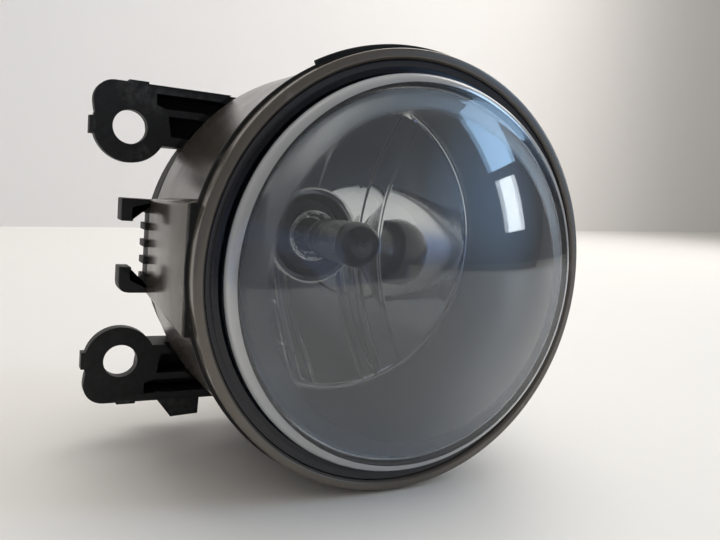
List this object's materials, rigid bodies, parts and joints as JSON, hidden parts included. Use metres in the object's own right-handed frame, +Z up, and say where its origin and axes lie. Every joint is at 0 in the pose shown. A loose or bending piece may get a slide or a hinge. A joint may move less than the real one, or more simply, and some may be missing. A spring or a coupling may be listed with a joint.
{
  "type": "fog light",
  "caption": "Round front fog light: domed glass lens on an aluminised housing that tilts in a black three-ear rear bracket, with a twist-lock bulb.",
  "frame": {"origin": "centre of the flange's front edge, on the lamp axis", "axes": "-Y is the way the beam leaves, +Z is up, +X is to the right seen from the front"},
  "size_m": [0.1302, 0.0981, 0.099],
  "materials": {
    "black_plastic": "moulded glass-filled plastic, fine texture",
    "aluminised_shell": "smoky aluminised overspray on moulded plastic",
    "aluminised_bezel": "satin aluminised",
    "reflector_mirror": "vacuum aluminised mirror",
    "lens_glass": "clear pressed glass",
    "adhesive": "cured black adhesive",
    "gasket_rubber": "matte moulded rubber",
    "holder_plastic": "moulded high-temperature plastic",
    "zinc_steel": "zinc plated",
    "membrane": "white vent membrane",
    "nylon": "natural nylon",
    "base_plastic": "moulded bulb base",
    "seal_rubber": "moulded silicone",
    "collar_steel": "pressed stainless steel",
    "bulb_glass": "clear hard glass",
    "tip_coating": "baked black coating",
    "tungsten": "coiled tungsten wire",
    "lead_wire": "drawn wire",
    "tinned_brass": "tinned blade"
  },
  "bodies": {
    "bracket": {"mounting_bracket": "black_plastic", "pivot_pin_left": "zinc_steel", "pivot_pin_right": "zinc_steel"},
    "lamp": {"housing": "aluminised_shell", "inner_bezel": "aluminised_bezel", "reflector": "reflector_mirror", "lens": "lens_glass", "lens_adhesive": "adhesive", "rim_gasket": "gasket_rubber", "bulb_holder": "holder_plastic", "holder_screws": "zinc_steel", "reflector_screws": "zinc_steel", "vent_tube": "gasket_rubber", "vent_membrane": "membrane", "pivot_bush_left": "nylon", "pivot_bush_right": "nylon"},
    "nut": {"barrel_nut": "nylon"},
    "screw": {"adjuster_screw": "zinc_steel", "screw_retainer": "zinc_steel"},
    "bulb": {"bulb_base": "base_plastic", "bulb_seal": "seal_rubber", "bulb_collar": "collar_steel", "bulb_glass": "bulb_glass", "bulb_tip_coat": "tip_coating", "bulb_filament": "tungsten", "bulb_leads": "lead_wire", "bulb_terminals": "tinned_brass"}
  },
  "joints": [
    {"name": "lamp_tilt", "type": "hinge", "parent": "bracket", "child": "lamp", "pos_m": [0, 0.0576, 0], "axis": [1, 0, 0], "range_deg": [-2.5, 2.5]},
    {"name": "nut_swivel", "type": "hinge", "parent": "lamp", "child": "nut", "pos_m": [0, 0.0588, 0.036], "axis": [1, 0, 0], "range_deg": [-2.6, 2.6]},
    {"name": "screw_turn", "type": "hinge", "parent": "bracket", "child": "screw", "pos_m": [0, 0.0588, 0.036], "axis": [0, 1, 0], "range_deg": [-360, 360]},
    {"name": "bulb_twist", "type": "hinge", "parent": "lamp", "child": "bulb", "pos_m": [0, 0.0576, 0.0044], "axis": [0, 1, 0], "range_deg": [0, 45]}
  ],
  "couplings": [
    {"joint": "nut_swivel", "follows": "lamp_tilt", "ratio": -1},
    {"joint": "screw_turn", "follows": "lamp_tilt", "ratio": 141.37}
  ]
}
